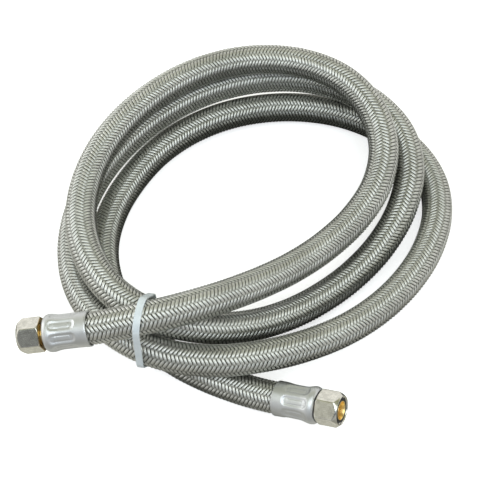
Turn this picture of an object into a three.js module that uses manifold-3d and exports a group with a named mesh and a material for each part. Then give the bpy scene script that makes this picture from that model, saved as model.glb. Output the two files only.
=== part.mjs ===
// Stainless braided water supply hose, coiled in three loops and lying down,
// held by one cable tie, with a crimped ferrule and a swivel nut on each end.
// Millimetres, +Z up, origin at the middle of the footprint on the floor.
import * as THREE from 'three';
import { mergeVertices } from 'three/addons/utils/BufferGeometryUtils.js';
import Module from 'manifold-3d';

const wasm = await Module();
wasm.setup();

// ---------------------------------------------------------------- dimensions
const HOSE_R = 8.1;            // outside of the braid
const BRAID_WALL = 0.8;
const LINER_R = 6.9;           // outside of the inner tube
const LINER_BORE_R = 5.0;
const HOSE_SIDES = 12;
const HOSE_STEPS = 92;         // rings along the hose, both ends included in the ferrules
const CRIMP = 0.932;           // the hose is squeezed to this inside a ferrule

const FERRULE_L = 23.0;
const FERRULE_IN_R = 7.87;
const FERRULE_HOLE_R = 5.85;
const HOSE_INSET = 3.0;        // hose end behind the ferrule's nut end
const DIMPLES = 8;
const DIMPLE_L = 14.0;
const DIMPLE_W = 5.6;
const DIMPLE_AT = 10.3;        // middle of the dimples, from the ferrule's nut end
const DIMPLE_FLOOR_R = 8.25;
const FERRULE_A_TURN = 12;     // degrees, where the dimples lie
const FERRULE_B_TURN = 10;

const NECK_R = 5.5;
const STEM_SHOULDER_R = 7.0;
const STEM_FLANGE_R = 6.5;
const STEM_BARB_R = 4.25;
const STEM_BORE_R = 3.55;
const SPIGOT_R = 4.9;
const STEM_FRONT = 12.1;       // stem and washer end, beyond the ferrule
const FLANGE_AT = 5.9;

const NUT_AF = 15.9;
const NUT_L = 12.0;
const NUT_LIP = 2.4;
const NUT_HOLE_R = 5.85;
const NUT_BORE_R = 6.9;
const NUT_A_AT = 1.65;         // nut's rear face, beyond the ferrule: run forward
const NUT_B_AT = 0.35;         // slid back
const NUT_A_TURN = -11.1;      // degrees
const NUT_B_TURN = 11;

const STRAP_W = 3.6;
const STRAP_T = 1.0;
const STRAP_GAP = 0.45;        // strap to hose
const HEAD = [6.2, 5.0, 4.2];  // along the strap, across it, out from it

// ends: ferrule's nut end, and the direction out of the hose
const END_A = [-99.117, -75.439, 39.001], OUT_A = [-0.970398, 0.015608, -0.241005];
const END_B = [36.605, -105.042, 18.318], OUT_B = [0.896694, -0.349342, 0.271846];
const TIE_AT = [-51.73, -72.88, 48.74];        // on the top strand's axis
const TIE_NORMAL = [0.981, -0.19, 0.03];

// centreline of the hose, from ferrule A to ferrule B
const ROUTE = [
  [-96.21, -75.49, 39.72], [-85.53, -75.66, 42.38], [-74.86, -75.83, 45.03],
  [-63.51, -74.7, 47.22], [-51.23, -72.77, 48.85], [-37.75, -69.23, 49.06],
  [-23.03, -63.24, 47.18], [-7.39, -54.42, 42.79], [8.92, -42.82, 36.47],
  [26.05, -28.79, 30.23], [43.37, -12.64, 26.44], [59.41, 5.21, 26.26],
  [71.67, 25.64, 28.97], [76.2, 48.56, 33.25], [70.45, 71.42, 37.58],
  [56.28, 90.46, 39.7], [35.92, 102.9, 39.51], [12.4, 107.38, 38.88],
  [-11.19, 103.72, 39.17], [-32.69, 93.11, 40.18], [-51.15, 77.89, 41.19],
  [-66.84, 59.69, 41.13], [-78.85, 39, 39.8], [-85.72, 16.1, 38.13],
  [-86.29, -7.86, 37.32], [-79.79, -30.8, 37.48], [-66.06, -50.49, 37.02],
  [-45.79, -62.51, 34.25], [-22.85, -65.03, 28.21], [-0.89, -59.7, 20.12],
  [19.54, -49.41, 13], [39.01, -36.01, 8.89], [57.44, -20.6, 8.63],
  [73.46, -3.09, 11.74], [85.41, 17.1, 16.8], [91.09, 39.82, 21.67],
  [87.77, 63.25, 24.36], [75.3, 83.6, 24.94], [56.72, 98.75, 24.14],
  [34.46, 107.16, 22.77], [10.49, 108.03, 21.85], [-12.65, 102, 22.21],
  [-33.66, 90.49, 23.37], [-52.16, 75.22, 24.28], [-68.17, 57.35, 24.08],
  [-81.09, 37.17, 22.71], [-89.55, 14.81, 20.92], [-92.24, -8.95, 19.69],
  [-88.14, -32.57, 19.79], [-76.85, -53.55, 21.32], [-59.39, -69.82, 23.24],
  [-37.73, -79.91, 24.54], [-13.97, -82.81, 24.95], [9.68, -79.22, 23.93],
  [32.22, -71.27, 21.46], [53.03, -59.73, 18.54], [71.54, -44.63, 16.21],
  [87.14, -26.45, 14.67], [98.92, -5.63, 13.48], [105.5, 17.41, 12.21],
  [104.8, 41.24, 10.53], [95.8, 63.29, 8.9], [79.57, 80.87, 8.06],
  [58.54, 92.26, 8.02], [35.09, 97.11, 8.37], [11.14, 96, 9.03],
  [-11.87, 89.37, 9.79], [-32.68, 77.59, 10.37], [-50.18, 61.44, 10.68],
  [-63.53, 41.89, 10.68], [-72.83, 20.21, 10.9], [-76.64, -3.2, 11.66],
  [-73.19, -26.78, 12.52], [-63.09, -47.35, 12.37], [-49.25, -62.98, 10.76],
  [-34.47, -73.92, 8.95], [-20.45, -81.57, 8], [-7.74, -87.42, 8.31],
  [3.71, -92.3, 9.58], [14.19, -96.31, 11.52], [24.05, -100.15, 14.51],
  [33.91, -103.99, 17.5],
].map((p) => new THREE.Vector3(...p));

// ------------------------------------------------------------------ helpers
const V = (a) => new THREE.Vector3(...a);

function solid(geometry) {
  const g = geometry.clone();
  g.deleteAttribute('normal');
  g.deleteAttribute('uv');
  const m = mergeVertices(g, 1e-4);
  const out = new wasm.Manifold(new wasm.Mesh({
    numProp: 3,
    vertProperties: new Float32Array(m.attributes.position.array),
    triVerts: new Uint32Array(m.index.array),
  }));
  if (out.volume() <= 0) throw new Error('solid is inside out or open');
  return out;
}

function toGeometry(manifold) {
  const m = manifold.getMesh();
  const g = new THREE.BufferGeometry();
  g.setAttribute('position', new THREE.BufferAttribute(new Float32Array(m.vertProperties), 3));
  g.setIndex(new THREE.BufferAttribute(new Uint32Array(m.triVerts), 1));
  g.computeVertexNormals();
  return g;
}

// closed (radius, along) profile turned about local +Z
function turned(profile, segments) {
  const pts = profile.map(([r, z]) => new THREE.Vector2(r, z));
  pts.push(pts[0].clone());
  let area = 0;
  for (let i = 0; i < pts.length - 1; i++) area += pts[i].x * pts[i + 1].y - pts[i + 1].x * pts[i].y;
  if (area < 0) pts.reverse();
  return new THREE.LatheGeometry(pts, segments).rotateX(Math.PI / 2);
}

// local +Z to an end's outward direction, local +Y to the side that looks up
function endMatrix(at, out, turnDeg = 0) {
  const z = V(out).normalize();
  const x = new THREE.Vector3().crossVectors(new THREE.Vector3(0, 0, 1), z).normalize();
  const y = new THREE.Vector3().crossVectors(z, x);
  const m = new THREE.Matrix4().makeBasis(x, y, z).setPosition(V(at));
  return m.multiply(new THREE.Matrix4().makeRotationZ(THREE.MathUtils.degToRad(turnDeg)));
}

// the hose's centreline, with two rings close together at each ferrule's mouth
class Route extends THREE.Curve {
  constructor(points) {
    super();
    this.curve = new THREE.CatmullRomCurve3(points, false, 'catmullrom', 0.5);
    this.arcLengthDivisions = 3000;
    this.marks = null;
  }
  getPoint(t, target = new THREE.Vector3()) { return this.curve.getPoint(t, target); }
  getUtoTmapping(u, distance) {
    if (!this.marks) return super.getUtoTmapping(u, distance);
    const f = u * (this.marks.length - 1);
    const i = Math.min(Math.floor(f + 1e-9), this.marks.length - 2);
    const s = this.marks[i] + (this.marks[i + 1] - this.marks[i]) * (f - i);
    return super.getUtoTmapping(s / this.getLength());
  }
}

const route = new Route(ROUTE);
const LENGTH = route.getLength();
const inFerrule = FERRULE_L - HOSE_INSET - 0.6;    // last crimped ring
const outFerrule = FERRULE_L - HOSE_INSET + 0.9;   // first full ring
const marks = [0, inFerrule, outFerrule];
const inner = HOSE_STEPS - 4;
for (let i = 1; i < inner; i++) marks.push(outFerrule + ((LENGTH - 2 * outFerrule) * i) / inner);
marks.push(LENGTH - outFerrule, LENGTH - inFerrule, LENGTH);
route.marks = marks;

// a round tube along the route, squeezed inside the ferrules
function hoseLayer(outerR, innerR) {
  const shape = new THREE.Shape();
  const hole = new THREE.Path();
  for (let i = 0; i < HOSE_SIDES; i++) {
    const a = (2 * Math.PI * i) / HOSE_SIDES;
    const p = [Math.cos(a), Math.sin(a)];
    if (i === 0) { shape.moveTo(p[0] * outerR, p[1] * outerR); hole.moveTo(p[0] * innerR, p[1] * innerR); }
    else { shape.lineTo(p[0] * outerR, p[1] * outerR); hole.lineTo(p[0] * innerR, p[1] * innerR); }
  }
  shape.closePath();
  hole.closePath();
  shape.holes.push(hole);
  const steps = marks.length - 1;
  const g = new THREE.ExtrudeGeometry(shape, { steps, curveSegments: 1, bevelEnabled: false, extrudePath: route });
  const rings = route.getSpacedPoints(steps);
  const squeezed = [0, 1, steps - 1, steps].map((i) => rings[i]);
  const pos = g.attributes.position;
  const v = new THREE.Vector3();
  for (let i = 0; i < pos.count; i++) {
    v.fromBufferAttribute(pos, i);
    let best = Infinity;
    let ring = null;
    for (const c of rings) {
      const d = v.distanceToSquared(c);
      if (d < best) { best = d; ring = c; }
    }
    if (squeezed.includes(ring)) {
      v.sub(ring).multiplyScalar(CRIMP).add(ring);
      pos.setXYZ(i, v.x, v.y, v.z);
    }
  }
  return toGeometry(solid(g));
}

// ------------------------------------------------------------------ fittings
// all in an end's local frame: z = 0 at the ferrule's nut end, +z out of the hose
function ferrule() {
  const L = FERRULE_L;
  let body = solid(turned([
    [FERRULE_HOLE_R, 0], [8.1, 0], [9.0, -0.5], [9.45, -1.3], [9.65, -2.4], [9.58, -4.4],
    [9.25, -5.8], [8.98, -7.4], [8.88, -9.0], [8.88, -17.0], [9.05, -L + 0.5], [8.9, -L],
    [8.3, -L], [FERRULE_IN_R, -L + 0.7], [FERRULE_IN_R, -1.4], [FERRULE_HOLE_R, -1.4],
  ], 40));
  const s = new THREE.Shape();
  const w = DIMPLE_W / 2;
  const straight = (DIMPLE_L - DIMPLE_W) / 2;
  s.absarc(straight, 0, w, -Math.PI / 2, Math.PI / 2, false);
  s.absarc(-straight, 0, w, Math.PI / 2, (3 * Math.PI) / 2, false);
  s.closePath();
  for (let i = 0; i < DIMPLES; i++) {
    const cutter = new THREE.ExtrudeGeometry(s, { depth: 3, bevelEnabled: false, curveSegments: 5 });
    cutter.rotateY(Math.PI / 2);                       // long side along z, depth along +x
    cutter.translate(DIMPLE_FLOOR_R, 0, -DIMPLE_AT);
    cutter.rotateZ((2 * Math.PI * (i + 0.5)) / DIMPLES);
    body = body.subtract(solid(cutter));
  }
  return toGeometry(body);
}

function nut(at) {
  const hex = new THREE.Shape();
  for (let i = 0; i < 6; i++) {
    const a = (Math.PI * (2 * i + 1)) / 6;
    const r = NUT_AF / Math.sqrt(3);
    if (i === 0) hex.moveTo(r * Math.cos(a), r * Math.sin(a)); else hex.lineTo(r * Math.cos(a), r * Math.sin(a));
  }
  hex.closePath();
  const prism = new THREE.ExtrudeGeometry(hex, { depth: NUT_L, bevelEnabled: false });
  const whole = new THREE.LatheGeometry([
    [0, 0], [8.2, 0], [9.3, 0.8], [9.3, NUT_L - 2.3], [7.45, NUT_L], [0, NUT_L],
  ].map(([r, z]) => new THREE.Vector2(r, z)), 48).rotateX(Math.PI / 2);
  const bore = new THREE.LatheGeometry([
    [0, -1], [NUT_HOLE_R, -1], [NUT_HOLE_R, NUT_LIP], [NUT_BORE_R, NUT_LIP],
    [NUT_BORE_R, NUT_L - 0.4], [NUT_BORE_R + 0.3, NUT_L], [NUT_BORE_R + 0.3, NUT_L + 1], [0, NUT_L + 1],
  ].map(([r, z]) => new THREE.Vector2(r, z)), 40).rotateX(Math.PI / 2);
  return toGeometry(solid(prism).intersect(solid(whole)).subtract(solid(bore))).translate(0, 0, at);
}

function stem() {
  return turned([
    [STEM_BORE_R, -21.5], [STEM_BARB_R - 0.25, -21.5], [STEM_BARB_R, -20.5], [STEM_BARB_R, -2.6],
    [STEM_SHOULDER_R, -2.6], [STEM_SHOULDER_R, -1.7], [NECK_R, -1.7], [NECK_R, FLANGE_AT],
    [STEM_FLANGE_R, FLANGE_AT], [STEM_FLANGE_R, FLANGE_AT + 1.5], [SPIGOT_R, FLANGE_AT + 1.5],
    [SPIGOT_R, STEM_FRONT - 0.15], [SPIGOT_R - 0.15, STEM_FRONT], [4.65, STEM_FRONT], [STEM_BORE_R, 6.0],
  ], 32);
}

function washer() {
  return turned([
    [SPIGOT_R + 0.3, FLANGE_AT + 1.8], [6.55, FLANGE_AT + 1.8], [6.55, STEM_FRONT - 1.2],
    [6.2, STEM_FRONT], [SPIGOT_R + 0.3, STEM_FRONT],
  ], 32);
}

// -------------------------------------------------------------------- strap
// the strap lies in one plane and follows the outline of the four strands
function strap() {
  const n = V(TIE_NORMAL).normalize();
  const ey = new THREE.Vector3().crossVectors(new THREE.Vector3(0, 0, 1), n).normalize();   // into the coil
  const ez = new THREE.Vector3().crossVectors(n, ey);
  const o = V(TIE_AT);
  const pts = [];
  const c = new THREE.Vector3();
  const c2 = new THREE.Vector3();
  const d = new THREE.Vector3();
  const N = 6000;
  for (let i = 0; i <= N; i++) {
    route.curve.getPoint(i / N, c);
    if (c.distanceTo(o) > 60) continue;
    d.copy(c).sub(o);
    if (Math.abs(d.dot(n)) > 14 || Math.hypot(d.dot(ey), d.dot(ez)) > 45) continue;
    route.curve.getPoint(Math.min(1, (i + 1) / N), c2);
    const t = c2.clone().sub(c).normalize();
    const a = new THREE.Vector3().crossVectors(t, new THREE.Vector3(0, 0, 1)).normalize();
    const b = new THREE.Vector3().crossVectors(a, t);
    for (let k = 0; k < 48; k++) {
      const th = (2 * Math.PI * k) / 48;
      const p = c.clone().addScaledVector(a, HOSE_R * Math.cos(th)).addScaledVector(b, HOSE_R * Math.sin(th)).sub(o);
      if (Math.abs(p.dot(n)) <= STRAP_W / 2 + 0.7) pts.push([p.dot(ey), p.dot(ez)]);
    }
  }
  const hull = convexHull(pts);
  const innerLine = offsetHull(hull, STRAP_GAP, 72);
  const outerLine = offsetHull(hull, STRAP_GAP + STRAP_T, 72);
  const shape = new THREE.Shape(outerLine.map(([y, z]) => new THREE.Vector2(y, z)));
  shape.holes.push(new THREE.Path(innerLine.map(([y, z]) => new THREE.Vector2(y, z)).reverse()));
  const band = new THREE.ExtrudeGeometry(shape, { depth: STRAP_W, bevelEnabled: false });
  band.translate(0, 0, -STRAP_W / 2);
  // the locking head, on the far side between the two rear strands
  const [py, pz, ny, nz] = supportPoint(outerLine, HEAD_SIDE);
  const head = new THREE.BoxGeometry(HEAD[2], HEAD[0], HEAD[1]);
  head.rotateZ(Math.atan2(nz, ny));
  head.translate(py + ny * (HEAD[2] / 2 - STRAP_T), pz + nz * (HEAD[2] / 2 - STRAP_T), 0);
  // the trimmed tail, standing out of the head
  const tail = new THREE.BoxGeometry(3.0, STRAP_T, STRAP_W);
  tail.rotateZ(Math.atan2(nz, ny));
  tail.translate(py + ny * HEAD[2], pz + nz * HEAD[2], 0);
  const body = solid(band).add(solid(head)).add(solid(tail));
  const g = toGeometry(body);
  g.applyMatrix4(new THREE.Matrix4().makeBasis(ey, ez, n).setPosition(o));
  return g;
}
const HEAD_SIDE = [0.96, -0.28];   // outward side of the head, in the strap's plane

function convexHull(points) {
  const p = points.slice().sort((a, b) => a[0] - b[0] || a[1] - b[1]);
  const cross = (o, a, b) => (a[0] - o[0]) * (b[1] - o[1]) - (a[1] - o[1]) * (b[0] - o[0]);
  const half = (list) => {
    const h = [];
    for (const q of list) {
      while (h.length > 1 && cross(h[h.length - 2], h[h.length - 1], q) <= 0) h.pop();
      h.push(q);
    }
    h.pop();
    return h;
  };
  return half(p).concat(half(p.reverse()));
}

// the hull moved out by gap, as a polygon of count corners (each a tangent crossing)
function offsetHull(hull, gap, count) {
  const h = [];
  for (let i = 0; i < count; i++) {
    const a = (2 * Math.PI * i) / count;
    const c = Math.cos(a);
    const s = Math.sin(a);
    let best = -Infinity;
    for (const q of hull) best = Math.max(best, q[0] * c + q[1] * s);
    h.push([c, s, best + gap]);
  }
  const out = [];
  for (let i = 0; i < count; i++) {
    const [c1, s1, d1] = h[i];
    const [c2, s2, d2] = h[(i + 1) % count];
    const det = c1 * s2 - s1 * c2;
    out.push([(d1 * s2 - d2 * s1) / det, (c1 * d2 - c2 * d1) / det]);
  }
  // drop corners that fall on top of each other
  return out.filter((q, i) => {
    const r = out[(i + out.length - 1) % out.length];
    return Math.hypot(q[0] - r[0], q[1] - r[1]) > 0.02;
  });
}

// middle of the outline's stretch that faces a direction, with that direction
function supportPoint(line, side) {
  const l = Math.hypot(side[0], side[1]);
  const n = [side[0] / l, side[1] / l];
  let best = -Infinity;
  for (const q of line) best = Math.max(best, q[0] * n[0] + q[1] * n[1]);
  const on = line.filter((q) => q[0] * n[0] + q[1] * n[1] > best - 0.6);
  const t = [-n[1], n[0]];
  const k = on.map((q) => q[0] * t[0] + q[1] * t[1]);
  const mid = (Math.min(...k) + Math.max(...k)) / 2;
  return [n[0] * best + t[0] * mid, n[1] * best + t[1] * mid, n[0], n[1]];
}

// ----------------------------------------------------------------- assembly
const steel = () => new THREE.MeshStandardMaterial({ color: 0x9a9a92, roughness: 0.42, metalness: 0.9 });
const ferruleSteel = () => new THREE.MeshStandardMaterial({ color: 0xb9bcbd, roughness: 0.32, metalness: 0.9 });
const nickel = () => new THREE.MeshStandardMaterial({ color: 0xb5b1a4, roughness: 0.3, metalness: 0.9 });
const brass = () => new THREE.MeshStandardMaterial({ color: 0xd3a548, roughness: 0.28, metalness: 0.9 });
const rubber = () => new THREE.MeshStandardMaterial({ color: 0x1b1b1c, roughness: 0.7, metalness: 0 });
const tubing = () => new THREE.MeshStandardMaterial({ color: 0x2c2d2e, roughness: 0.6, metalness: 0 });
const nylon = () => new THREE.MeshStandardMaterial({ color: 0xd7dfe3, roughness: 0.45, metalness: 0 });

const group = new THREE.Group();
function add(name, geometry, material, matrix) {
  if (matrix) geometry.applyMatrix4(matrix);
  geometry.computeVertexNormals();
  const mesh = new THREE.Mesh(geometry, material);
  mesh.name = name;
  group.add(mesh);
}

add('braid_sleeve', hoseLayer(HOSE_R, HOSE_R - BRAID_WALL), steel());
add('inner_tube', hoseLayer(LINER_R, LINER_BORE_R), tubing());
for (const [id, at, out, nutAt, turn, dimpleTurn] of [
  ['a', END_A, OUT_A, NUT_A_AT, NUT_A_TURN, FERRULE_A_TURN],
  ['b', END_B, OUT_B, NUT_B_AT, NUT_B_TURN, FERRULE_B_TURN],
]) {
  add(`ferrule_${id}`, ferrule(), ferruleSteel(), endMatrix(at, out, dimpleTurn));
  add(`stem_${id}`, stem(), brass(), endMatrix(at, out));
  add(`nut_${id}`, nut(nutAt), nickel(), endMatrix(at, out, turn));
  add(`cone_washer_${id}`, washer(), rubber(), endMatrix(at, out));
}
add('cable_tie', strap(), nylon());

export default group;
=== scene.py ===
import math

import bpy
import numpy as np
from mathutils import Matrix, Vector


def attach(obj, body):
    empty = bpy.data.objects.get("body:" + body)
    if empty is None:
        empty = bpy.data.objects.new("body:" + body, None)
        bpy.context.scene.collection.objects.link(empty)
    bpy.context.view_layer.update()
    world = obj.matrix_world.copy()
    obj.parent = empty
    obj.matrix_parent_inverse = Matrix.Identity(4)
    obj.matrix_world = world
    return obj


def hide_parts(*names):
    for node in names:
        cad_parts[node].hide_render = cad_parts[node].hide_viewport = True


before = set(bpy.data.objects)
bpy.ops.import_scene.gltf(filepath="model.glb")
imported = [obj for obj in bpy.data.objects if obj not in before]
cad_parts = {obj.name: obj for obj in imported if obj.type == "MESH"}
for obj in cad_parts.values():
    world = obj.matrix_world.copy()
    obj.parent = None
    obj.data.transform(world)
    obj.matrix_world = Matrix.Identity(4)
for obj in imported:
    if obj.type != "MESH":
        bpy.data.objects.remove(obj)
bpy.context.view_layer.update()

MM = 0.001

# ------------------------------------------------------------------ dimensions, mm
HOSE_R = 8.1
BRAID_R = 8.32          # tops of the wires where they ride over
CORE_R = 7.35
BRAID_LAY = 24.0
CARRIERS = 12          # each way
RIBBON_W = 1.46
FERRULE_L = 23.0
FERRULE_TURN = {"a": 12.0, "b": 10.0}
DIMPLE_AT = 10.3
STEM_FRONT = 12.1
HOSE_INSET = 3.0

NUT_AF = 15.9
NUT_L = 12.0
NUT_LIP = 2.4
NUT_HOLE_R = 5.85
NUT_BORE_R = 6.9
NUT_AT = {"a": 1.65, "b": 0.35}
NUT_TURN = {"a": -11.1, "b": 11.0}
END = {"a": (-99.117, -75.439, 39.001), "b": (36.605, -105.042, 18.318)}
OUT = {"a": (-0.970398, 0.015608, -0.241005), "b": (0.896694, -0.349342, 0.271846)}

TIE_AT = (-51.73, -72.88, 48.74)
TIE_NORMAL = (0.981, -0.19, 0.03)
STRAP_W = 3.6
STRAP_T = 1.0
STRAP_GAP = 0.45
HEAD = (6.2, 5.0, 4.2)
HEAD_SIDE = (0.96, -0.28)

# centreline of the hose, from ferrule A to ferrule B
ROUTE = [
    (-96.21, -75.49, 39.72), (-85.53, -75.66, 42.38), (-74.86, -75.83, 45.03),
    (-63.51, -74.70, 47.22), (-51.23, -72.77, 48.85), (-37.75, -69.23, 49.06),
    (-23.03, -63.24, 47.18), (-7.39, -54.42, 42.79), (8.92, -42.82, 36.47),
    (26.05, -28.79, 30.23), (43.37, -12.64, 26.44), (59.41, 5.21, 26.26),
    (71.67, 25.64, 28.97), (76.20, 48.56, 33.25), (70.45, 71.42, 37.58),
    (56.28, 90.46, 39.70), (35.92, 102.90, 39.51), (12.40, 107.38, 38.88),
    (-11.19, 103.72, 39.17), (-32.69, 93.11, 40.18), (-51.15, 77.89, 41.19),
    (-66.84, 59.69, 41.13), (-78.85, 39.00, 39.80), (-85.72, 16.10, 38.13),
    (-86.29, -7.86, 37.32), (-79.79, -30.80, 37.48), (-66.06, -50.49, 37.02),
    (-45.79, -62.51, 34.25), (-22.85, -65.03, 28.21), (-0.89, -59.70, 20.12),
    (19.54, -49.41, 13.00), (39.01, -36.01, 8.89), (57.44, -20.60, 8.63),
    (73.46, -3.09, 11.74), (85.41, 17.10, 16.80), (91.09, 39.82, 21.67),
    (87.77, 63.25, 24.36), (75.30, 83.60, 24.94), (56.72, 98.75, 24.14),
    (34.46, 107.16, 22.77), (10.49, 108.03, 21.85), (-12.65, 102.00, 22.21),
    (-33.66, 90.49, 23.37), (-52.16, 75.22, 24.28), (-68.17, 57.35, 24.08),
    (-81.09, 37.17, 22.71), (-89.55, 14.81, 20.92), (-92.24, -8.95, 19.69),
    (-88.14, -32.57, 19.79), (-76.85, -53.55, 21.32), (-59.39, -69.82, 23.24),
    (-37.73, -79.91, 24.54), (-13.97, -82.81, 24.95), (9.68, -79.22, 23.93),
    (32.22, -71.27, 21.46), (53.03, -59.73, 18.54), (71.54, -44.63, 16.21),
    (87.14, -26.45, 14.67), (98.92, -5.63, 13.48), (105.50, 17.41, 12.21),
    (104.80, 41.24, 10.53), (95.80, 63.29, 8.90), (79.57, 80.87, 8.06),
    (58.54, 92.26, 8.02), (35.09, 97.11, 8.37), (11.14, 96.00, 9.03),
    (-11.87, 89.37, 9.79), (-32.68, 77.59, 10.37), (-50.18, 61.44, 10.68),
    (-63.53, 41.89, 10.68), (-72.83, 20.21, 10.90), (-76.64, -3.20, 11.66),
    (-73.19, -26.78, 12.52), (-63.09, -47.35, 12.37), (-49.25, -62.98, 10.76),
    (-34.47, -73.92, 8.95), (-20.45, -81.57, 8.00), (-7.74, -87.42, 8.31),
    (3.71, -92.30, 9.58), (14.19, -96.31, 11.52), (24.05, -100.15, 14.51),
    (33.91, -103.99, 17.50),
]

# ------------------------------------------------------------------ camera
PHOTO_W = 480
FOCAL_PX = 1445.0
EL = math.radians(55.0)
TARGET = Vector((-2.826, 8.917, -0.214)) * MM
cam_data = bpy.data.cameras.new("view")
cam_data.sensor_fit = "HORIZONTAL"
cam_data.sensor_width = 36.0
cam_data.lens = 36.0 * FOCAL_PX / PHOTO_W
cam_data.clip_start = 0.01
cam_data.clip_end = 20.0
cam = bpy.data.objects.new("view", cam_data)
bpy.context.scene.collection.objects.link(cam)
back = Vector((0.0, -math.cos(EL), math.sin(EL)))
cam.location = TARGET + back * 0.8
cam.rotation_euler = (math.pi / 2 - EL, 0.0, 0.0)
bpy.context.scene.camera = cam


# ------------------------------------------------------------------ mesh helpers
def mesh_object(name, verts_mm, faces, smooth=True, uvs=None, colour=None):
    """verts in mm; uvs is per corner, colour a per-point painted shade value stored as a mesh attribute."""
    me = bpy.data.meshes.new(name)
    verts = np.asarray(verts_mm, dtype=np.float64) * MM
    faces = np.asarray(faces, dtype=np.int32)
    n, k = faces.shape
    me.vertices.add(len(verts))
    me.vertices.foreach_set("co", verts.ravel())
    me.loops.add(n * k)
    me.loops.foreach_set("vertex_index", faces.ravel())
    me.polygons.add(n)
    me.polygons.foreach_set("loop_start", np.arange(0, n * k, k, dtype=np.int32))
    me.update(calc_edges=True)
    me.validate()
    if smooth:
        me.shade_smooth()
    if uvs is not None:
        layer = me.uv_layers.new(name="along")
        layer.data.foreach_set("uv", np.asarray(uvs, dtype=np.float32)[faces.ravel()].ravel())
    if colour is not None:
        att = me.attributes.new("painted_crevice_shade", "FLOAT", "POINT")
        att.data.foreach_set("value", np.asarray(colour, dtype=np.float32))
    ob = bpy.data.objects.new(name, me)
    bpy.context.scene.collection.objects.link(ob)
    return ob


def grid_faces(rows, cols, wrap_cols=False, wrap_rows=False, flip=False):
    r = np.arange(rows if wrap_rows else rows - 1)
    c = np.arange(cols if wrap_cols else cols - 1)
    R, C = np.meshgrid(r, c, indexing="ij")
    R2, C2 = (R + 1) % rows, (C + 1) % cols
    f = np.stack([R * cols + C, R * cols + C2, R2 * cols + C2, R2 * cols + C], -1).reshape(-1, 4)
    return f[:, ::-1] if flip else f


def smoothstep(a, b, x):
    t = np.clip((x - a) / (b - a), 0.0, 1.0)
    return t * t * (3 - 2 * t)


# ------------------------------------------------------------------ route
P = np.array(ROUTE, dtype=float)
Q = np.vstack([2 * P[0] - P[1], P, 2 * P[-1] - P[-2]])


def route_at(t):
    """t in segments, 0 to len(ROUTE)-1: uniform Catmull-Rom, tension 0.5."""
    t = np.clip(np.asarray(t, float), 0, len(P) - 1 - 1e-9)
    i = t.astype(int)
    u = (t - i)[:, None]
    a, b, c, d = Q[i], Q[i + 1], Q[i + 2], Q[i + 3]
    return b + 0.5 * u * ((c - a) + u * (2 * a - 5 * b + 4 * c - d + u * (3 * (b - c) + d - a)))


_t = np.linspace(0, len(P) - 1, 40001)
_p = route_at(_t)
_s = np.concatenate([[0], np.cumsum(np.linalg.norm(np.diff(_p, axis=0), axis=1))])
LENGTH = float(_s[-1])


def frames(s):
    """Centre, normal and binormal of the route at the arc lengths s, without twist."""
    base = np.linspace(0, LENGTH, 3601)
    c = route_at(np.interp(base, _s, _t))
    tan = np.gradient(c, base, axis=0)
    tan /= np.linalg.norm(tan, axis=1)[:, None]
    nrm = np.zeros_like(c)
    v = np.cross(tan[0], (0, 0, 1.0))
    nrm[0] = v / np.linalg.norm(v)
    for i in range(1, len(c)):
        v = nrm[i - 1] - tan[i] * np.dot(nrm[i - 1], tan[i])
        nrm[i] = v / np.linalg.norm(v)
    out = []
    for arr in (nrm, tan):
        a = np.stack([np.interp(s, base, arr[:, k]) for k in range(3)], -1)
        out.append(a / np.linalg.norm(a, axis=1)[:, None])
    n, t = out
    n = n - t * np.sum(n * t, axis=1)[:, None]
    n /= np.linalg.norm(n, axis=1)[:, None]
    return route_at(np.interp(s, _s, _t)), n, np.cross(t, n)


def crimp(s):
    """Radial squeeze where the hose sits in a ferrule."""
    d = np.minimum(s, LENGTH - s)
    return 1 - 0.085 * (1 - smoothstep(FERRULE_L - HOSE_INSET - 0.5, FERRULE_L - HOSE_INSET + 2.2, d))


def on_hose(s, phi, r):
    """Points at arc length s, angle phi and radius r (arrays of one shape)."""
    shape = s.shape
    flat = s.ravel()
    base = np.linspace(0, LENGTH, 7201)
    c, n, b = frames(base)
    pick = lambda a: np.stack([np.interp(flat, base, a[:, k]) for k in range(3)], -1)
    c, n, b = pick(c), pick(n), pick(b)
    k = (r.ravel() * crimp(flat))[:, None]
    ph = phi.ravel()[:, None]
    return (c + k * (np.cos(ph) * n + np.sin(ph) * b)).reshape(shape + (3,))


# ------------------------------------------------------------------ hose core
RINGS, SIDES = 600, 24
s_ring = np.linspace(0, LENGTH, RINGS)
S, PH = np.meshgrid(s_ring, np.arange(SIDES) * 2 * math.pi / SIDES, indexing="ij")
core_pts = on_hose(S, PH, np.full(S.shape, CORE_R)).reshape(-1, 3)
ring_centres = frames(s_ring)[0]
last = (RINGS - 1) * SIDES
core_faces = grid_faces(RINGS, SIDES, wrap_cols=True)
caps = []
core_pts = np.vstack([core_pts, ring_centres[:1], ring_centres[-1:]])
tip = len(core_pts) - 2
for j in range(0, SIDES, 2):
    caps.append([tip, (j + 2) % SIDES, j + 1, j])
    caps.append([tip + 1, last + j, last + j + 1, last + (j + 2) % SIDES])
core = mesh_object("hose_core", core_pts, np.vstack([core_faces, np.array(caps)]))
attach(core, "hose")
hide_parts("inner_tube")


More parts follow.
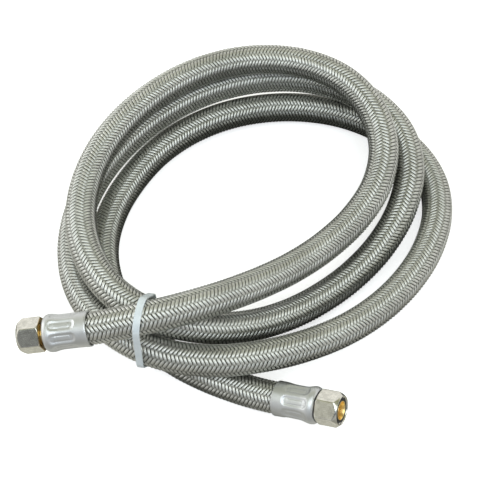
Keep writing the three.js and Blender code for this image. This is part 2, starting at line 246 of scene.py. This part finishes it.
# ------------------------------------------------------------------ braid
def braid_piece(name, direction, s_from, s_to):
    """Twelve flat ribbons wound one way, over two and under two of those wound the other way."""
    step = BRAID_LAY / 48
    k0, k1 = math.ceil(s_from / step), math.floor(s_to / step)
    s = np.arange(k0, k1 + 1) * step
    theta = math.atan2(2 * math.pi * HOSE_R, BRAID_LAY)
    across = np.array([-0.5, -0.26, 0.26, 0.5])
    drop = np.array([0.30, 0.0, 0.0, 0.30])
    verts, uvs, painted_crevice_shade = [], [], []
    for i in range(CARRIERS):
        k = s / (BRAID_LAY / (2 * CARRIERS))
        # column number of the crossing, in steps of half the carriers' spacing
        phase = (2 * i + k) if direction > 0 else (2 * i - k)
        wave = np.cos(2 * math.pi * (phase - 0.5) / 4)
        if direction < 0:
            wave = -wave
        up = np.clip(1.42 * wave, -1, 1)
        rad = BRAID_R - 0.27 + 0.27 * up
        width = RIBBON_W * (1 + 0.035 * np.sin(s * 0.37 + i * 2.1) + 0.02 * np.sin(s * 1.9 + i))
        phi = direction * 2 * math.pi * s / BRAID_LAY + 2 * math.pi * i / CARRIERS
        phi = phi + 0.008 * np.sin(s * 0.23 + 1.7 * i)
        w = across[None, :] * width[:, None]
        ss = s[:, None] - w * math.sin(theta) * direction
        pp = phi[:, None] + w * math.cos(theta) / HOSE_R
        rr = rad[:, None] - drop[None, :]
        verts.append(on_hose(np.clip(ss, 0, LENGTH), pp, rr).reshape(-1, 3))
        along = s / math.cos(theta)
        uv = np.stack([np.repeat(along[:, None], 4, 1), np.repeat(across[None, :] + 0.5, len(s), 0)], -1)
        uvs.append(uv.reshape(-1, 2))
        # painted shade: ribbons get darker where they dip under the crossing ribbons and along their edges, standing
        # for the shade in the crevices of the weave
        dd = 0.5 + 0.5 * up[:, None] - 0.35 * (drop[None, :] > 0)
        painted_crevice_shade.append(dd.reshape(-1))
    n = len(s)
    f = grid_faces(n, 4, flip=direction < 0)
    faces = np.vstack([f + i * n * 4 for i in range(CARRIERS)])
    ob = mesh_object(name, np.vstack(verts), faces, uvs=np.vstack(uvs), colour=np.concatenate(painted_crevice_shade))
    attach(ob, "hose")
    return ob


START = FERRULE_L - HOSE_INSET - 2.0
HALF = LENGTH / 2
braids = [
    braid_piece("braid_right_1", 1, START, HALF),
    braid_piece("braid_right_2", 1, HALF - 0.5, LENGTH - START),
    braid_piece("braid_left_1", -1, START, HALF),
    braid_piece("braid_left_2", -1, HALF - 0.5, LENGTH - START),
]
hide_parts("braid_sleeve")


# ------------------------------------------------------------------ end fittings
def end_matrix(end, turn=0.0):
    z = Vector(OUT[end]).normalized()
    x = Vector((0, 0, 1)).cross(z).normalized()
    y = z.cross(x)
    a = math.radians(turn)
    x2 = x * math.cos(a) + y * math.sin(a)
    y2 = y * math.cos(a) - x * math.sin(a)
    return np.array([x2, y2, z]).T, np.array(END[end])


def placed(end, turn, pts):
    R, o = end_matrix(end, turn)
    return pts @ R.T + o


def revolve(profile_r, profile_z, segments, radius_at=None):
    """Closed loop of (r, z) points turned about z; radius_at(r, z, phi) may vary r."""
    phi = np.arange(segments) * 2 * math.pi / segments
    Rr, Ph = np.meshgrid(np.asarray(profile_r, float), phi, indexing="ij")
    Zz = np.repeat(np.asarray(profile_z, float)[:, None], segments, 1)
    if radius_at is not None:
        Rr = radius_at(Rr, Zz, Ph)
    pts = np.stack([Rr * np.cos(Ph), Rr * np.sin(Ph), Zz], -1).reshape(-1, 3)
    return pts, grid_faces(len(profile_r), segments, wrap_cols=True, wrap_rows=True)


def path_points(pairs, spacing):
    """A closed outline filled in with points no further apart than spacing."""
    out = []
    n = len(pairs)
    for i in range(n):
        a, b = np.array(pairs[i], float), np.array(pairs[(i + 1) % n], float)
        m = max(1, int(math.ceil(np.linalg.norm(b - a) / spacing)))
        out += [a + (b - a) * j / m for j in range(m)]
    return np.array(out)


def orient(ob):
    """Faces of a closed mesh out."""
    import bmesh

    bm = bmesh.new()
    bm.from_mesh(ob.data)
    bmesh.ops.recalc_face_normals(bm, faces=bm.faces)
    bm.to_mesh(ob.data)
    bm.free()
    return ob


FER_Z = [0, 0.25, 0.6, 1.3, 2.4, 3.6, 4.8, 6.0, 7.4, 9.0, 12.0, 16.0, 19.5, 21.4, 22.3, 22.75, 23.0]
FER_R = [8.05, 8.55, 8.98, 9.4, 9.63, 9.64, 9.48, 9.2, 8.98, 8.89, 8.87, 8.88, 8.95, 9.02, 9.05, 8.98, 8.75]


def ferrule(end):
    z_out = np.linspace(0, FERRULE_L, 150)
    r_out = np.interp(z_out, FER_Z, FER_R)
    kern = np.array([1, 2, 3, 2, 1]) / 9.0
    r_s = np.convolve(np.pad(r_out, 2, mode="edge"), kern, mode="valid")
    r_out = np.where((z_out > 0.6) & (z_out < 22.3), r_s, r_out)
    inner = [(8.25, FERRULE_L), (7.87, FERRULE_L - 0.7), (7.87, 1.4), (5.95, 1.4), (5.85, 1.2), (5.85, 0.15), (6.0, 0.0), (7.8, 0.0)]
    pr = list(r_out) + [p[0] for p in inner]
    pz = list(-z_out) + [-p[1] for p in inner]

    def dented(R, Z, Ph):
        out = R > 8.4
        k = np.round((Ph / (2 * math.pi / 8)) - 0.5)
        dphi = Ph - (k + 0.5) * 2 * math.pi / 8
        x = np.abs(Z + DIMPLE_AT)
        y = np.abs(dphi * 8.85)
        # distance to a stadium outline, negative inside
        hx, hy, rad = 7.1, 2.75, 2.5
        qx, qy = np.maximum(x - (hx - rad), 0), np.maximum(y - (hy - rad), 0)
        dist = np.hypot(qx, qy) - rad
        dent = 0.62 * (1 - smoothstep(-1.4, 0.3, dist))
        # the die's own raised pad along the middle of the floor
        qx2, qy2 = np.maximum(x - 3.5, 0), np.maximum(y - 0.75, 0)
        d2 = np.hypot(qx2, qy2) - 0.5
        dent = dent - 0.15 * (1 - smoothstep(-0.4, 0.35, d2))
        return np.where(out, R - dent, R)

    pts, faces = revolve(pr, pz, 256, dented)
    ob = orient(mesh_object("ferrule_shell_" + end, placed(end, FERRULE_TURN[end], pts), faces))
    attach(ob, "hose")
    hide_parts("ferrule_" + end)
    return ob


def nut(end):
    at = NUT_AT[end]
    outer = [(6.25, 0.0), (8.15, 0.0), (9.3, 0.85), (9.3, NUT_L - 2.3), (7.5, NUT_L), (7.35, NUT_L)]
    pitch = 25.4 / 24
    zs = np.linspace(NUT_L - 0.45, NUT_LIP + 0.9, 96)
    inner = [(7.2, NUT_L - 0.1)] + [(7.1, z) for z in zs] + [(7.1, NUT_LIP + 0.5), (6.9, NUT_LIP), (5.95, NUT_LIP), (5.85, NUT_LIP - 0.12), (5.85, 0.3), (6.05, 0.0)]
    dense = path_points(outer[1:-1] + [], 0.14)
    ends_i = [i for i, p in enumerate(dense) if p[1] > NUT_L - 1e-6]
    dense = dense[: ends_i[0] + 1]
    loop = [(6.25, 0.0), (7.0, 0.0), (7.7, 0.0)] + [tuple(p) for p in dense] + [(7.3, NUT_L - 0.02)] + inner
    loop = np.array(loop)

    def shaped(R, Z, Ph):
        a = (Ph + math.pi / 6) % (math.pi / 3) - math.pi / 6
        hexr = (NUT_AF / 2) / np.cos(a)
        # the corners are very slightly broken
        hexr = np.minimum(hexr, 9.3)
        outside = (R > 7.45) & (Z < NUT_L - 0.001)
        kk = 0.14
        soft = np.minimum(R, hexr) - kk * np.log1p(np.exp(-np.abs(R - hexr) / kk))
        R = np.where(outside, soft, R)
        thread = (Z < NUT_L - 0.4) & (Z > NUT_LIP + 0.8) & (R < 7.2) & (R > 7.05)
        ph = (Z / pitch + Ph / (2 * math.pi)) % 1.0
        tri = np.abs(ph - 0.5) * 2
        fade = smoothstep(NUT_LIP + 0.8, NUT_LIP + 1.8, Z)
        return np.where(thread, 6.86 + 0.42 * np.clip(1.25 * tri - 0.1, 0, 1) * fade + 0.1 * (1 - fade), R)

    pts, faces = revolve(loop[:, 0], loop[:, 1], 288, shaped)
    pts[:, 2] += at
    ob = orient(mesh_object("swivel_nut_" + end, placed(end, NUT_TURN[end], pts), faces))
    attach(ob, "nut_" + end)
    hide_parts("nut_" + end)
    return ob


def stem(end):
    front = STEM_FRONT
    prof = [
        (3.55, -21.5), (4.0, -21.5), (4.25, -20.5), (4.25, -2.6), (6.9, -2.6), (7.0, -2.5), (7.0, -1.8), (6.9, -1.7),
        (5.5, -1.7), (5.5, 5.9), (6.4, 5.9), (6.5, 6.0), (6.5, 7.3), (6.4, 7.4), (4.9, 7.4), (4.9, front - 0.2),
        (4.84, front - 0.06), (4.72, front), (4.62, front - 0.05), (4.4, front - 0.9), (4.12, front - 2.3),
        (3.86, front - 4.1), (3.66, front - 5.8), (3.55, front - 7.2),
    ]
    d = path_points(prof, 0.6)
    pts, faces = revolve(d[:, 0], d[:, 1], 96)
    ob = orient(mesh_object("brass_stem_" + end, placed(end, 0, pts), faces))
    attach(ob, "hose")
    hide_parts("stem_" + end)
    return ob


def washer(end):
    front = STEM_FRONT
    prof = [(5.2, 7.7), (6.45, 7.7), (6.55, 7.8), (6.55, front - 1.4), (6.5, front - 1.1), (6.2, front - 0.15), (6.05, front - 0.02), (5.35, front - 0.02), (5.2, front - 0.15)]
    d = path_points(prof, 0.35)
    pts, faces = revolve(d[:, 0], d[:, 1], 96)
    ob = orient(mesh_object("rubber_washer_" + end, placed(end, 0, pts), faces))
    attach(ob, "hose")
    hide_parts("cone_washer_" + end)
    return ob


fittings = {}
for e in ("a", "b"):
    fittings[e] = [ferrule(e), nut(e), stem(e), washer(e)]


# ------------------------------------------------------------------ tie
def convex_hull(points):
    p = sorted(map(tuple, points))
    cross = lambda o, a, b: (a[0] - o[0]) * (b[1] - o[1]) - (a[1] - o[1]) * (b[0] - o[0])

    def half(seq):
        h = []
        for q in seq:
            while len(h) > 1 and cross(h[-2], h[-1], q) <= 0:
                h.pop()
            h.append(q)
        return h[:-1]

    return np.array(half(p) + half(p[::-1]))


def tie_plane():
    n = np.array(TIE_NORMAL, float)
    n /= np.linalg.norm(n)
    ey = np.cross((0, 0, 1.0), n)
    ey /= np.linalg.norm(ey)
    return n, ey, np.cross(n, ey), np.array(TIE_AT, float)


def tie_hull():
    n, ey, ez, o = tie_plane()
    s = np.linspace(0, LENGTH, 9001)
    c, nn, bb = frames(s)
    near = np.linalg.norm(c - o, axis=1) < 60
    c, nn, bb = c[near], nn[near], bb[near]
    th = np.arange(48) * 2 * math.pi / 48
    p = c[:, None, :] + HOSE_R * (np.cos(th)[None, :, None] * nn[:, None, :] + np.sin(th)[None, :, None] * bb[:, None, :]) - o
    d = (c - o)
    ok = (np.abs(d @ n) <= 14) & (np.hypot(d @ ey, d @ ez) <= 45)
    p = p[ok].reshape(-1, 3)
    p = p[np.abs(p @ n) <= STRAP_W / 2 + 0.7]
    return convex_hull(np.stack([p @ ey, p @ ez], -1))


def offset_line(hull, gap, count):
    """Closed smooth line, gap outside the hull, as count points evenly along it, with its outward normals."""
    a = np.arange(1440) * 2 * math.pi / 1440
    d = np.stack([np.cos(a), np.sin(a)], -1)
    best = hull[np.argmax(d @ hull.T, axis=1)]
    line = best + d * gap
    seg = np.linalg.norm(np.diff(np.vstack([line, line[:1]]), axis=0), axis=1)
    t = np.concatenate([[0], np.cumsum(seg)])
    loop = np.vstack([line, line[:1]])
    u = np.linspace(0, t[-1], count, endpoint=False)
    q = np.stack([np.interp(u, t, loop[:, k]) for k in range(2)], -1)
    for _ in range(3):
        q = 0.5 * q + 0.25 * (np.roll(q, 1, 0) + np.roll(q, -1, 0))
    tg = np.roll(q, -1, 0) - np.roll(q, 1, 0)
    tg /= np.linalg.norm(tg, axis=1)[:, None]
    return q, np.stack([tg[:, 1], -tg[:, 0]], -1), t[-1]


hull = tie_hull()
n_t, ey_t, ez_t, o_t = tie_plane()


def to_world(y, z, x):
    return o_t + y[..., None] * ey_t + z[..., None] * ez_t + x[..., None] * n_t


def strap():
    M = 420
    q, nrm, total = offset_line(hull, STRAP_GAP + 0.02, M)
    # rounded section: (across, out)
    w, t, r = STRAP_W / 2, STRAP_T - 0.06, 0.32
    sec = []
    for cx, cy, a0 in ((w - r, t - r, 0), (-(w - r), t - r, 90), (-(w - r), r * 0.7, 180), (w - r, r * 0.7, 270)):
        rr = r if cy > r else r * 0.7
        for a in (0, 22.5, 45, 67.5, 90):
            th = math.radians(a0 + a)
            sec.append((cx + r * math.cos(th), cy + rr * math.sin(th)))
    sec = np.array(sec)
    pos = q[:, None, :] + nrm[:, None, :] * sec[None, :, 1:2]
    X = np.repeat(sec[None, :, 0], M, 0)
    pts = to_world(pos[..., 0], pos[..., 1], X).reshape(-1, 3)
    faces = grid_faces(M, len(sec), wrap_cols=True, wrap_rows=True)
    u = np.repeat(np.linspace(0, total, M, endpoint=False)[:, None], len(sec), 1)
    ob = orient(mesh_object("tie_strap", pts, faces, uvs=np.stack([u, X], -1).reshape(-1, 2)))
    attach(ob, "hose")
    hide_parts("cable_tie")
    return ob


def bevelled_box(name, size, bevel, segments=3):
    import bmesh

    bm = bmesh.new()
    bmesh.ops.create_cube(bm, size=1.0)
    bmesh.ops.scale(bm, vec=size, verts=bm.verts)
    bmesh.ops.bevel(bm, geom=bm.edges[:], offset=bevel, segments=segments, profile=0.5, affect="EDGES")
    me = bpy.data.meshes.new(name)
    bm.to_mesh(me)
    bm.free()
    me.shade_smooth()
    ob = bpy.data.objects.new(name, me)
    bpy.context.scene.collection.objects.link(ob)
    return ob


def tie_head():
    q, nrm, _ = offset_line(hull, STRAP_GAP + STRAP_T, 720)
    side = np.array(HEAD_SIDE) / np.hypot(*HEAD_SIDE)
    k = q @ side
    on = q[k > k.max() - 0.6]
    t = np.array([-side[1], side[0]])
    kk = on @ t
    c = side * k.max() + t * (kk.min() + kk.max()) / 2
    # local: X out of the coil, Y along the strap, Z across it
    ax = side[0] * ey_t + side[1] * ez_t
    ay = t[0] * ey_t + t[1] * ez_t
    R = np.stack([ax, ay, n_t], -1)
    o = o_t + c[0] * ey_t + c[1] * ez_t
    m = Matrix([list(R[i] * MM) + [o[i] * MM] for i in range(3)] + [[0, 0, 0, 1]])
    parts = []
    head = bevelled_box("tie_head", (HEAD[2], HEAD[0], HEAD[1]), 0.55, 4)
    head.data.transform(Matrix.Translation((HEAD[2] / 2 - STRAP_T, 0, 0)))
    slot_cut = bevelled_box("tie_slot_cut", (1.0, 8.0, 3.9), 0.2, 2)
    slot_cut.data.transform(Matrix.Translation((1.35, 0, 0)))
    mod = head.modifiers.new("slot", "BOOLEAN")
    mod.operation = "DIFFERENCE"
    mod.object = slot_cut
    mod.solver = "EXACT"
    dg = bpy.context.evaluated_depsgraph_get()
    me = bpy.data.meshes.new_from_object(head.evaluated_get(dg))
    head.modifiers.clear()
    head.data = me
    me.name = "tie_head"
    bpy.data.objects.remove(slot_cut)
    head.data.transform(m)
    tail = bevelled_box("tie_tail", (3.4, STRAP_T - 0.1, STRAP_W - 0.1), 0.3, 3)
    tail.data.transform(Matrix.Translation((HEAD[2] - 0.2, 0, 0)))
    tail.data.transform(m)
    for ob in (head, tail):
        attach(ob, "hose")
    return [head, tail]


tie = [strap()] + tie_head()


# ------------------------------------------------------------------ materials
class Nodes:
    def __init__(self, name):
        self.mat = bpy.data.materials.new(name)
        self.mat.use_nodes = True
        self.t = self.mat.node_tree
        self.t.nodes.clear()
        self.out = self.add("ShaderNodeOutputMaterial")
        self.b = self.add("ShaderNodeBsdfPrincipled")
        self.link(self.b.outputs[0], self.out.inputs["Surface"])

    def add(self, kind, **kw):
        n = self.t.nodes.new(kind)
        for k, v in kw.items():
            setattr(n, k, v)
        return n

    def link(self, a, b):
        self.t.links.new(a, b)

    def math(self, op, a, b=None, c=None, clamp=False):
        n = self.add("ShaderNodeMath", operation=op)
        n.use_clamp = clamp
        for i, v in enumerate((a, b, c)):
            if v is None:
                continue
            if isinstance(v, (int, float)):
                n.inputs[i].default_value = v
            else:
                self.link(v, n.inputs[i])
        return n.outputs[0]

    def noise(self, vec, scale, detail=3.0, rough=0.55):
        n = self.add("ShaderNodeTexNoise")
        n.inputs["Scale"].default_value = scale
        n.inputs["Detail"].default_value = detail
        n.inputs["Roughness"].default_value = rough
        if vec is not None:
            self.link(vec, n.inputs["Vector"])
        return n.outputs["Fac"]

    def ramp(self, fac, stops):
        n = self.add("ShaderNodeValToRGB")
        el = n.color_ramp.elements
        while len(el) < len(stops):
            el.new(0.5)
        for e, (p, c) in zip(el, stops):
            e.position = p
            e.color = tuple(c) + (1.0,)
        self.link(fac, n.inputs[0])
        return n.outputs[0]

    def bump(self, height, strength, distance, normal=None):
        n = self.add("ShaderNodeBump")
        n.inputs["Strength"].default_value = strength
        n.inputs["Distance"].default_value = distance
        self.link(height, n.inputs["Height"])
        if normal is not None:
            self.link(normal, n.inputs["Normal"])
        return n.outputs[0]

    def obj(self):
        return self.add("ShaderNodeTexCoord").outputs["Object"]

    def set(self, **kw):
        for k, v in kw.items():
            s = self.b.inputs[k.replace("_", " ")]
            if isinstance(v, (int, float, tuple)):
                s.default_value = v
            else:
                self.link(v, s)
        return self.mat


def braid_material():
    m = Nodes("woven_steel")
    uv = m.add("ShaderNodeUVMap", uv_map="along")
    sep = m.add("ShaderNodeSeparateXYZ")
    m.link(uv.outputs[0], sep.inputs[0])
    wires = m.math("MULTIPLY", sep.outputs[1], 7.0)
    fr = m.math("FRACT", wires)
    c = m.math("SUBTRACT", fr, 0.5)
    sq = m.math("MULTIPLY", c, c)
    height = m.math("SQRT", m.math("MAXIMUM", m.math("SUBTRACT", 0.26, sq), 0.0))
    which = m.math("FLOOR", wires)
    comb = m.add("ShaderNodeCombineXYZ")
    m.link(m.math("MULTIPLY", sep.outputs[0], 0.02), comb.inputs[0])
    m.link(m.math("MULTIPLY", which, 3.7), comb.inputs[1])
    per_wire = m.noise(comb.outputs[0], 1.0, 2.0)
    # painted shade: the per-point crevice value mixes the wire colour toward near black where the ribbons dip under
    # and at their edges
    painted_crevice_shade = m.add("ShaderNodeAttribute", attribute_name="painted_crevice_shade")
    patch = m.noise(m.obj(), 45.0, 3.0)
    tone = m.math("ADD", m.math("MULTIPLY", patch, 0.35), m.math("MULTIPLY", per_wire, 0.5))
    lit = m.ramp(tone, [(0.25, (0.50, 0.50, 0.465)), (0.62, (0.87, 0.872, 0.825))])
    dark = m.add("ShaderNodeMix", data_type="RGBA")
    m.link(m.math("MULTIPLY_ADD", painted_crevice_shade.outputs["Fac"], 1.3, -0.1, clamp=True), dark.inputs[0])
    dark.inputs[6].default_value = (0.075, 0.075, 0.055, 1.0)
    m.link(lit, dark.inputs[7])
    rough = m.math("MULTIPLY_ADD", per_wire, 0.2, 0.30)
    normal = m.bump(height, 0.55, 0.00018)
    return m.set(Base_Color=dark.outputs[2], Metallic=1.0, Roughness=rough, Normal=normal)


def core_material():
    m = Nodes("dark_tubing")
    n = m.noise(m.obj(), 300.0, 4.0)
    col = m.ramp(n, [(0.3, (0.012, 0.012, 0.010)), (0.7, (0.035, 0.034, 0.030))])
    return m.set(Base_Color=col, Roughness=m.math("MULTIPLY_ADD", n, 0.3, 0.5), Normal=m.bump(n, 0.3, 0.0002))


def ferrule_material():
    m = Nodes("pressed_steel")
    o = m.obj()
    fine = m.noise(o, 900.0, 5.0, 0.6)
    soft = m.noise(o, 120.0, 3.0)
    col = m.ramp(soft, [(0.3, (0.64, 0.645, 0.645)), (0.7, (0.71, 0.715, 0.715))])
    rough = m.math("ADD", m.math("MULTIPLY", fine, 0.10), m.math("MULTIPLY_ADD", soft, 0.10, 0.33))
    normal = m.bump(fine, 0.12, 0.00006, m.bump(soft, 0.25, 0.00025))
    return m.set(Base_Color=col, Metallic=0.9, Roughness=rough, Normal=normal)


def local_coords(m, end, turn):
    """Object coordinates turned into the fitting's own frame, in mm: x, y across, z along."""
    R, o = end_matrix(end, turn)
    sub = m.add("ShaderNodeVectorMath", operation="SUBTRACT")
    m.link(m.obj(), sub.inputs[0])
    sub.inputs[1].default_value = tuple(float(v) * MM for v in o)
    outs = []
    for k in range(3):
        dot = m.add("ShaderNodeVectorMath", operation="DOT_PRODUCT")
        m.link(sub.outputs[0], dot.inputs[0])
        dot.inputs[1].default_value = tuple(float(v) for v in R[:, k])
        outs.append(m.math("MULTIPLY", dot.outputs["Value"], 1000.0))
    return outs


def nut_material(end):
    m = Nodes("satin_nickel_" + end)
    x, y, z = local_coords(m, end, NUT_TURN[end])
    comb = m.add("ShaderNodeCombineXYZ")
    m.link(m.math("MULTIPLY", x, 7.0), comb.inputs[0])
    m.link(m.math("MULTIPLY", y, 7.0), comb.inputs[1])
    m.link(m.math("MULTIPLY", z, 0.28), comb.inputs[2])
    brush = m.noise(comb.outputs[0], 1.0, 4.0, 0.6)
    comb2 = m.add("ShaderNodeCombineXYZ")
    m.link(x, comb2.inputs[0])
    m.link(y, comb2.inputs[1])
    m.link(z, comb2.inputs[2])
    cloud = m.noise(comb2.outputs[0], 0.35, 3.0)
    col = m.ramp(m.math("ADD", m.math("MULTIPLY", brush, 0.5), m.math("MULTIPLY", cloud, 0.5)),
                 [(0.34, (0.50, 0.485, 0.43)), (0.60, (0.80, 0.78, 0.70))])
    # painted shade on the rear bevel and rear face beside the ferrule: near black on nut B, and on nut A a dark
    # brass-gold painted reflection of the brass stem
    painted_gap_shade_mask = m.add("ShaderNodeMapRange", interpolation_type="SMOOTHSTEP")
    m.link(z, painted_gap_shade_mask.inputs["Value"])
    painted_gap_shade_mask.inputs["From Min"].default_value = NUT_AT[end] + 0.1
    painted_gap_shade_mask.inputs["From Max"].default_value = NUT_AT[end] + 0.6
    mix = m.add("ShaderNodeMix", data_type="RGBA")
    m.link(painted_gap_shade_mask.outputs["Result"], mix.inputs[0])
    mix.inputs[6].default_value = (0.34, 0.24, 0.10, 1.0) if end == "a" else (0.05, 0.045, 0.04, 1.0)
    m.link(col, mix.inputs[7])
    rough = m.math("MULTIPLY_ADD", brush, 0.16, 0.08)
    normal = m.bump(brush, 0.16, 0.00006)
    return m.set(Base_Color=mix.outputs[2], Metallic=1.0, Roughness=rough, Normal=normal)


def brass_material():
    m = Nodes("turned_brass")
    o = m.obj()
    n = m.noise(o, 500.0, 4.0)
    col = m.ramp(n, [(0.3, (0.84, 0.60, 0.22)), (0.7, (0.96, 0.76, 0.38))])
    return m.set(Base_Color=col, Metallic=1.0, Roughness=m.math("MULTIPLY_ADD", n, 0.14, 0.24), Normal=m.bump(n, 0.08, 0.00004))


def rubber_material():
    m = Nodes("black_rubber")
    n = m.noise(m.obj(), 700.0, 4.0)
    col = m.ramp(n, [(0.3, (0.008, 0.008, 0.008)), (0.7, (0.02, 0.02, 0.02))])
    return m.set(Base_Color=col, Roughness=m.math("MULTIPLY_ADD", n, 0.2, 0.5), Normal=m.bump(n, 0.25, 0.0001))


def nylon_material():
    m = Nodes("natural_nylon")
    o = m.obj()
    n = m.noise(o, 260.0, 3.0)
    col = m.ramp(n, [(0.3, (0.70, 0.76, 0.80)), (0.7, (0.78, 0.83, 0.86))])
    mat = m.set(Base_Color=col, Roughness=m.math("MULTIPLY_ADD", n, 0.2, 0.3), Normal=m.bump(n, 0.12, 0.0001))
    m.b.inputs["Subsurface Weight"].default_value = 0.35
    m.b.inputs["Subsurface Radius"].default_value = (1.0, 1.0, 1.0)
    m.b.inputs["Subsurface Scale"].default_value = 0.001
    return mat


def wear(ob, mat):
    ob.data.materials.clear()
    ob.data.materials.append(mat)


steel = braid_material()
for b in braids:
    wear(b, steel)
wear(core, core_material())
fer, brs, rub, nyl = ferrule_material(), brass_material(), rubber_material(), nylon_material()
for e in ("a", "b"):
    f, n, s, w = fittings[e]
    wear(f, fer)
    wear(n, nut_material(e))
    wear(s, brs)
    wear(w, rub)
for t in tie:
    wear(t, nyl)

# ------------------------------------------------------------------ floor and light
fl = mesh_object("floor", [(-9000, -9000, 0), (9000, -9000, 0), (9000, 9000, 0), (-9000, 9000, 0)], [[0, 1, 2, 3]], smooth=False)
fm = Nodes("pale_floor")
fcol = fm.ramp(fm.noise(fm.obj(), 3.0), [(0.3, (0.90, 0.90, 0.90)), (0.7, (0.92, 0.92, 0.92))])
wear(fl, fm.set(Base_Color=fcol, Roughness=0.7))
fm.b.inputs["Emission Color"].default_value = (1.0, 1.0, 1.0, 1.0)
fm.b.inputs["Emission Strength"].default_value = 0.62
fl.visible_diffuse = False
fl.visible_glossy = False

# painted shade: a dark card 1 mm below the floor standing for the floor in the coil's shadow, fading out at its rim
# and seen only in the metal's reflections
th_c = np.arange(96) * 2 * math.pi / 96
ring = np.stack([5 + 128 * np.cos(th_c), 5 + 140 * np.sin(th_c), np.full(96, -1.0)], -1)
card = mesh_object("shade_below", np.vstack([ring, [(5.0, 5.0, -1.0)]]),
                   [[96, i, (i + 1) % 96, (i + 2) % 96] for i in range(0, 96, 2)], smooth=False)
cm = Nodes("shade_below")
sepc = cm.add("ShaderNodeSeparateXYZ")
cm.link(cm.obj(), sepc.inputs[0])
ex = cm.math("MULTIPLY", cm.math("SUBTRACT", sepc.outputs[0], 0.005), 1 / 0.104)
ey_c = cm.math("MULTIPLY", cm.math("SUBTRACT", sepc.outputs[1], 0.005), 1 / 0.116)
rad_c = cm.math("SQRT", cm.math("ADD", cm.math("MULTIPLY", ex, ex), cm.math("MULTIPLY", ey_c, ey_c)))
edge = cm.add("ShaderNodeMapRange", interpolation_type="SMOOTHSTEP")
cm.link(rad_c, edge.inputs["Value"])
edge.inputs["From Min"].default_value = 0.86
edge.inputs["From Max"].default_value = 1.12
clear = cm.add("ShaderNodeBsdfTransparent")
mixs = cm.add("ShaderNodeMixShader")
cm.link(edge.outputs["Result"], mixs.inputs[0])
cm.link(cm.b.outputs[0], mixs.inputs[1])
cm.link(clear.outputs[0], mixs.inputs[2])
cm.link(mixs.outputs[0], cm.out.inputs["Surface"])
wear(card, cm.set(Base_Color=(0.05, 0.05, 0.04, 1.0), Roughness=0.9))
card.visible_camera = False
card.visible_diffuse = False
card.visible_shadow = False
card.visible_transmission = False

world = bpy.data.worlds.new("studio")
bpy.context.scene.world = world
world.use_nodes = True
wt = world.node_tree
bg = wt.nodes["Background"]
co = wt.nodes.new("ShaderNodeTexCoord")


def wnode(kind, **kw):
    n = wt.nodes.new(kind)
    for k, v in kw.items():
        setattr(n, k, v)
    return n


def along_dir(d, lo, hi):
    """0 to 1 as the direction's component along d goes from lo to hi."""
    dot = wnode("ShaderNodeVectorMath", operation="DOT_PRODUCT")
    wt.links.new(co.outputs["Generated"], dot.inputs[0])
    dot.inputs[1].default_value = d
    mr = wnode("ShaderNodeMapRange", interpolation_type="SMOOTHSTEP")
    mr.inputs["From Min"].default_value = lo
    mr.inputs["From Max"].default_value = hi
    wt.links.new(dot.outputs["Value"], mr.inputs["Value"])
    return mr.outputs["Result"]


def sky_ramp(stops):
    rp = wnode("ShaderNodeValToRGB")
    el = rp.color_ramp.elements
    while len(el) < len(stops):
        el.new(0.5)
    for e_, (p_, c_) in zip(el, stops):
        e_.position = p_
        e_.color = c_ + (1.0,)
    dot = wnode("ShaderNodeVectorMath", operation="DOT_PRODUCT")
    wt.links.new(co.outputs["Generated"], dot.inputs[0])
    dot.inputs[1].default_value = (0.0, 0.0, 0.5)
    ad = wnode("ShaderNodeMath", operation="ADD")
    wt.links.new(dot.outputs["Value"], ad.inputs[0])
    ad.inputs[1].default_value = 0.5
    wt.links.new(ad.outputs[0], rp.inputs[0])
    return rp.outputs[0]


def blend(fac, a, b):
    mx = wnode("ShaderNodeMix", data_type="RGBA")
    wt.links.new(fac, mx.inputs[0])
    for i, v in ((6, a), (7, b)):
        if isinstance(v, tuple):
            mx.inputs[i].default_value = v + (1.0,)
        else:
            wt.links.new(v, mx.inputs[i])
    return mx.outputs[2]


# behind the coil: white paper up to a little over the horizon, then a dull warm ceiling;
# in front: dim low down, cool white high up
BEHIND = [
    (0.00, (0.62, 0.62, 0.56)),
    (0.18, (0.48, 0.48, 0.43)),
    (0.36, (0.50, 0.50, 0.46)),
    (0.46, (1.00, 1.01, 1.02)),
    (0.67, (1.00, 1.00, 0.98)),
    (0.79, (0.41, 0.42, 0.30)),
    (0.92, (0.30, 0.31, 0.21)),
    (1.00, (0.38, 0.39, 0.31)),
]
FRONT = [
    (0.00, (0.58, 0.58, 0.52)),
    (0.16, (0.32, 0.32, 0.29)),
    (0.42, (0.38, 0.38, 0.36)),
    (0.52, (0.48, 0.49, 0.49)),
    (0.66, (0.40, 0.41, 0.42)),
    (0.78, (0.12, 0.13, 0.14)),
    (0.87, (0.85, 0.97, 1.15)),
    (1.00, (0.62, 0.66, 0.68)),
]
to_front = along_dir((0.0, -1.0, 0.0), 0.36, 0.76)
wt.links.new(blend(to_front, sky_ramp(BEHIND), sky_ramp(FRONT)), bg.inputs[0])
bg.inputs[1].default_value = 1.05


def softbox(name, loc, target, size, power, colour=(1, 1, 1)):
    d = bpy.data.lights.new(name, "AREA")
    d.shape = "RECTANGLE"
    d.size, d.size_y = size
    d.energy = power
    d.color = colour
    o = bpy.data.objects.new(name, d)
    o.location = loc
    o.rotation_euler = (Vector(target) - Vector(loc)).to_track_quat("-Z", "Y").to_euler()
    bpy.context.scene.collection.objects.link(o)
    return o


softbox("top", (0.05, -0.5, 1.1), (0, 0, 0), (1.6, 0.9), 9.5, (0.87, 0.94, 1.0))
softbox("left", (-1.3, 0.3, 0.55), (0, 0, 0), (1.0, 0.8), 4.0, (0.92, 0.96, 1.0))

bpy.context.scene.view_settings.view_transform = "Standard"
bpy.context.scene.view_settings.look = "None"
